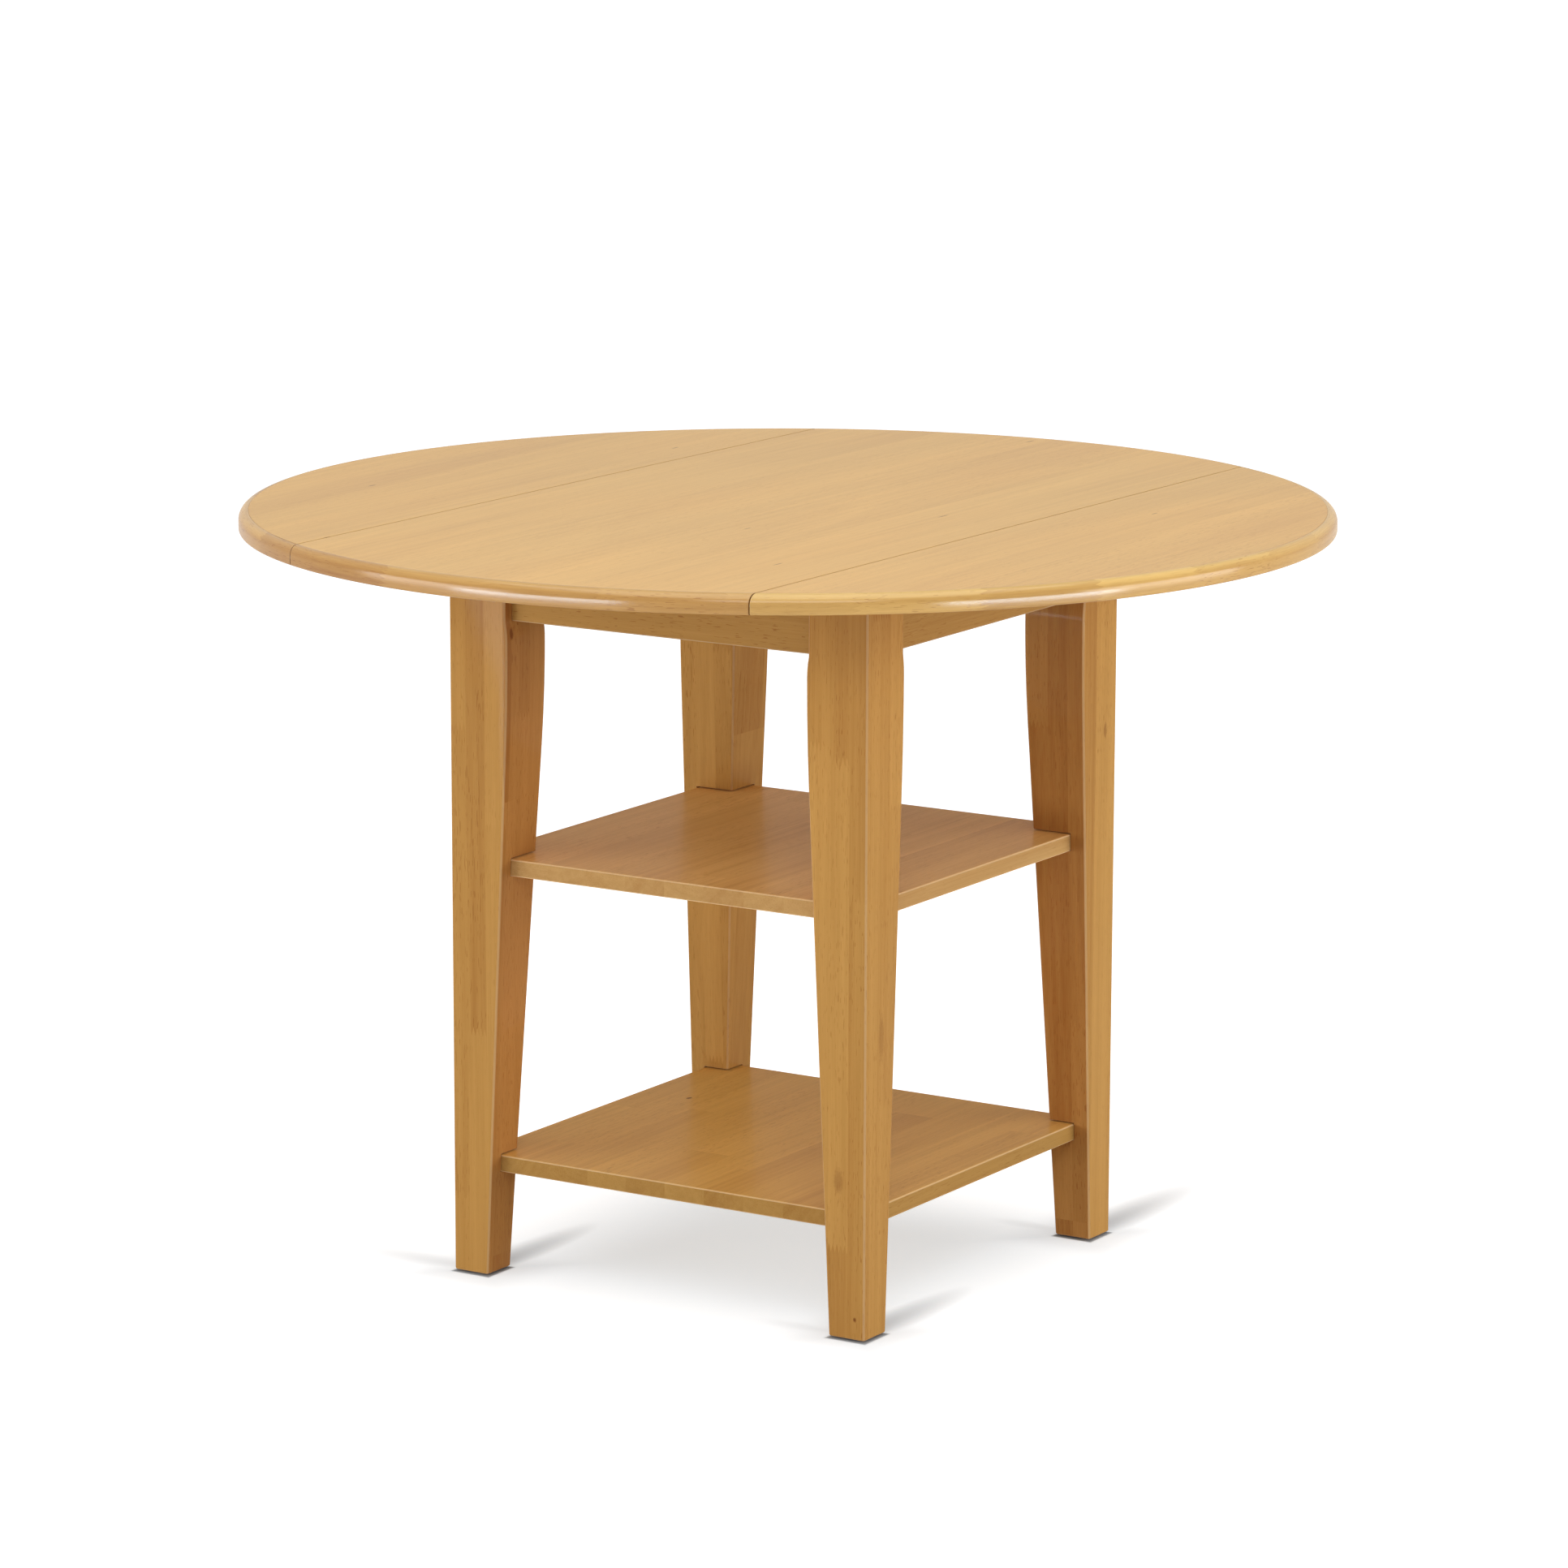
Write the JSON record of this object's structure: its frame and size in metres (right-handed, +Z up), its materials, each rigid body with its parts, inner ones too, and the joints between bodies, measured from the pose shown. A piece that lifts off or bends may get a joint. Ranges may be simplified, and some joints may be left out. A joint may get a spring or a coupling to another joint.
{
  "type": "drop leaf table",
  "caption": "Round wooden table with two hinged drop leaves, swelled and tapered square legs, aprons, two square shelves between the legs and sliding leaf supports",
  "frame": {"origin": "on the floor under the middle of the round top", "axes": "+Z up; the hinge seams run along Y; the right leaf is at +X and the left leaf at -X; the front is -Y"},
  "size_m": [1.0666, 1.0668, 0.754],
  "materials": {
    "top_wood": "satin lacquered rubberwood veneer",
    "edge_wood": "satin lacquered solid rubberwood, finger jointed",
    "base_wood": "satin lacquered laminated rubberwood",
    "shelf_wood": "gloss lacquered laminated rubberwood",
    "inner_wood": "planed, unlacquered",
    "hinge_steel": "zinc plated",
    "bracket_steel": "zinc plated",
    "bolt_steel": "zinc plated",
    "glide_plastic": "moulded, matt"
  },
  "bodies": {
    "base": {"centre_panel": "top_wood", "centre_edge_front": "edge_wood", "centre_edge_back": "edge_wood", "left_hinge_centre_flaps": "hinge_steel", "right_hinge_centre_flaps": "hinge_steel", "front_left_leg": "base_wood", "front_right_leg": "base_wood", "back_left_leg": "base_wood", "back_right_leg": "base_wood", "front_left_corner_block": "inner_wood", "front_right_corner_block": "inner_wood", "back_left_corner_block": "inner_wood", "back_right_corner_block": "inner_wood", "hanger_bolts": "bolt_steel", "bolt_nuts": "bolt_steel", "foot_glides": "glide_plastic", "front_apron": "base_wood", "back_apron": "base_wood", "left_apron": "base_wood", "right_apron": "base_wood", "guide_rail": "inner_wood", "middle_shelf": "shelf_wood", "lower_shelf": "shelf_wood", "middle_shelf_brackets": "bracket_steel", "lower_shelf_brackets": "bracket_steel", "top_brackets": "bracket_steel"},
    "left_leaf": {"left_leaf_panel": "top_wood", "left_leaf_edge": "edge_wood", "left_hinge_leaf_flaps": "hinge_steel", "left_hinge_pins": "hinge_steel"},
    "right_leaf": {"right_leaf_panel": "top_wood", "right_leaf_edge": "edge_wood", "right_hinge_leaf_flaps": "hinge_steel", "right_hinge_pins": "hinge_steel"},
    "right_front_support": {"right_front_loper": "inner_wood", "right_front_stop_block": "inner_wood"},
    "right_back_support": {"right_back_loper": "inner_wood", "right_back_stop_block": "inner_wood"},
    "left_front_support": {"left_front_loper": "inner_wood", "left_front_stop_block": "inner_wood"},
    "left_back_support": {"left_back_loper": "inner_wood", "left_back_stop_block": "inner_wood"}
  },
  "joints": [
    {"name": "right_leaf_hinge", "type": "hinge", "parent": "base", "child": "right_leaf", "pos_m": [0.254, 0, 0.7315], "axis": [0, -1, 0], "range_deg": [-90, 0]},
    {"name": "left_leaf_hinge", "type": "hinge", "parent": "base", "child": "left_leaf", "pos_m": [-0.254, 0, 0.7315], "axis": [0, 1, 0], "range_deg": [-90, 0]},
    {"name": "right_front_support_slide", "type": "slide", "parent": "base", "child": "right_front_support", "axis": [1, 0, 0], "range_m": [0, 0.1784]},
    {"name": "right_back_support_slide", "type": "slide", "parent": "base", "child": "right_back_support", "axis": [1, 0, 0], "range_m": [0, 0.1784]},
    {"name": "left_front_support_slide", "type": "slide", "parent": "base", "child": "left_front_support", "axis": [-1, 0, 0], "range_m": [0, 0.1784]},
    {"name": "left_back_support_slide", "type": "slide", "parent": "base", "child": "left_back_support", "axis": [-1, 0, 0], "range_m": [0, 0.1784]}
  ]
}
